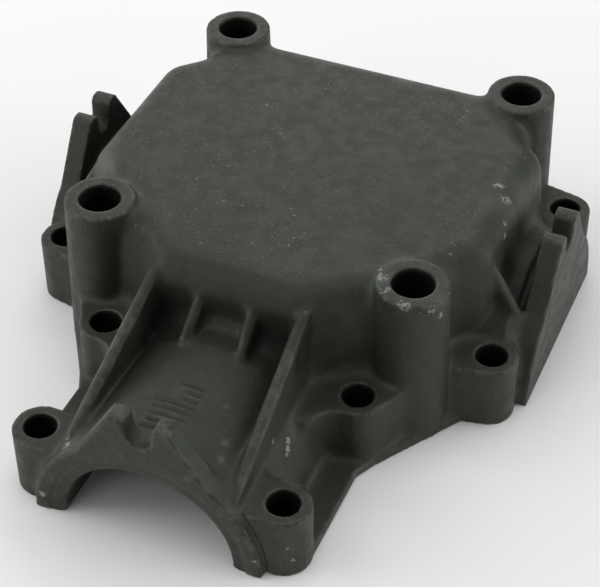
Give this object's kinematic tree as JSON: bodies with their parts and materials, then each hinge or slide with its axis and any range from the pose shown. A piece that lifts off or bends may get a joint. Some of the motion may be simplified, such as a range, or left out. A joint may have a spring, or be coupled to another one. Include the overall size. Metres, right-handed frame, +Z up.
{
  "type": "die cast housing",
  "caption": "Half housing of a right angle drive: a drafted gear chamber with tall corner bolt posts, a ribbed half barrel, notched gabled end plates and low bolt lugs at the split face.",
  "frame": {"origin": "centre of the four tall bolt posts, on the split plane", "axes": "+Z up from the split plane along the bolt posts, -Y along the barrel towards its mouth, X across the two side domes"},
  "size_m": [0.1164, 0.133, 0.0371],
  "materials": {
    "casting": "dark grey as-cast skin, matte"
  },
  "bodies": {
    "root": {"housing": "casting"}
  },
  "joints": []
}
